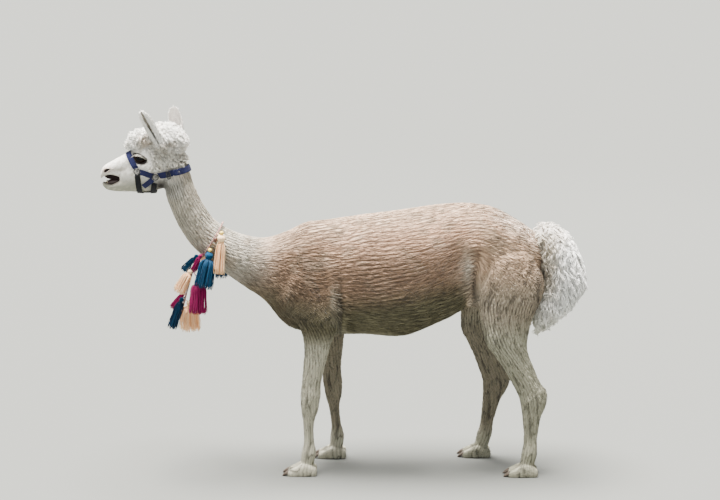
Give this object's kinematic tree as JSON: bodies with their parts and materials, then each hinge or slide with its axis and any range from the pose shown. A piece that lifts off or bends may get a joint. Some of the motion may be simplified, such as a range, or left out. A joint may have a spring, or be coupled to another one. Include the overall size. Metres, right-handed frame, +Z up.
{
  "type": "alpaca",
  "caption": "Life-size standing alpaca, freshly shorn, with woolly topknot and tail, a webbing halter and a garland of wool tassels round its neck.",
  "frame": {"origin": "middle of the underside of the whole box, on the floor between the feet", "axes": "+Z up, the animal faces -X, its left side is towards -Y"},
  "size_m": [1.7044, 0.302, 1.3027],
  "materials": {
    "fleece": "short shorn fleece in fine ridges",
    "wool": "long soft unshorn wool",
    "face": "short fine hair",
    "eye": "wet gloss",
    "nail": "dark horn",
    "mouth": "moist",
    "tooth": "ivory",
    "navy_webbing": "woven webbing",
    "black_webbing": "woven webbing",
    "steel": "dull plated wire",
    "cord": "plaited wool cord",
    "peach_yarn": "soft wool yarn",
    "teal_yarn": "soft wool yarn",
    "magenta_yarn": "soft wool yarn",
    "blue_yarn": "soft wool yarn"
  },
  "bodies": {
    "root": {"trunk": "fleece", "neck": "fleece", "tail": "wool", "head": "face", "jaw": "face", "topknot": "wool", "tongue": "mouth", "incisors": "tooth", "eye_left": "eye", "eye_right": "eye", "ear_left": "face", "ear_right": "face", "foreleg_left": "fleece", "foreleg_right": "fleece", "hindleg_left": "fleece", "hindleg_right": "fleece", "nail_foreleg_left_outer": "nail", "nail_foreleg_left_inner": "nail", "nail_foreleg_right_outer": "nail", "nail_foreleg_right_inner": "nail", "nail_hindleg_left_outer": "nail", "nail_hindleg_left_inner": "nail", "nail_hindleg_right_outer": "nail", "nail_hindleg_right_inner": "nail", "halter_noseband_upper": "navy_webbing", "halter_noseband_lower": "navy_webbing", "halter_crown": "navy_webbing", "halter_throat": "black_webbing", "halter_cheek_left": "navy_webbing", "halter_cheek_right": "navy_webbing", "halter_tab": "navy_webbing", "halter_chin_link": "black_webbing", "halter_ring_nose_left": "steel", "halter_ring_nose_right": "steel", "halter_ring_cheek_left": "steel", "halter_ring_cheek_right": "steel", "halter_buckle": "steel", "garland_collar": "cord", "garland_drop": "cord", "tassel_peach_left": "peach_yarn", "tassel_teal_left": "teal_yarn", "tassel_magenta_side": "magenta_yarn", "tassel_teal_front": "teal_yarn", "tassel_peach_front": "peach_yarn", "tassel_magenta_front": "magenta_yarn", "tassel_blue_front": "blue_yarn", "tassel_magenta_low": "magenta_yarn", "tassel_peach_low": "peach_yarn", "tassel_teal_right": "teal_yarn", "tassel_peach_right": "peach_yarn"}
  },
  "joints": []
}
